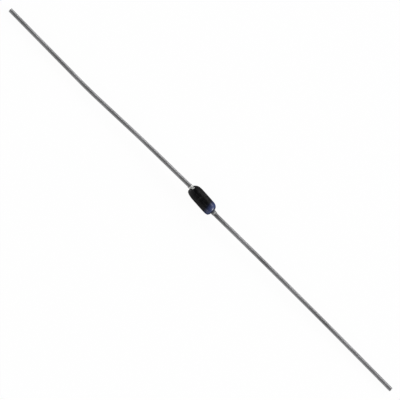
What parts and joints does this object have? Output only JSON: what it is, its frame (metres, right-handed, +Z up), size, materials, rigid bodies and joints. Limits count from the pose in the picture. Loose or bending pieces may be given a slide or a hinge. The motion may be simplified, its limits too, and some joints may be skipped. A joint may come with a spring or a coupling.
{
  "type": "zener diode",
  "caption": "Axial glass zener diode with a lacquered rounded body, a blue cathode band and long, slightly bent wire leads.",
  "frame": {"origin": "on the floor, under the middle of the glass sleeve", "axes": "+X along the sleeve towards the banded cathode end, +Z up"},
  "size_m": [0.0615, 0.004, 0.0016],
  "materials": {
    "tinned_wire": "satin, tin-plated",
    "plug_metal": "matt, oxidised, partly tinned",
    "clear_glass": "fire-polished",
    "black_lacquer": "semi-gloss lacquer",
    "blue_lacquer": "gloss lacquer",
    "silicon": "sawn and etched",
    "silver": "matt plated silver"
  },
  "bodies": {
    "root": {"glass_sleeve": "clear_glass", "anode_slug": "plug_metal", "cathode_slug": "plug_metal", "zener_die": "silicon", "anode_bump": "silver", "black_coat": "black_lacquer", "cathode_band": "blue_lacquer", "anode_lead": "tinned_wire", "cathode_lead": "tinned_wire"}
  },
  "joints": []
}
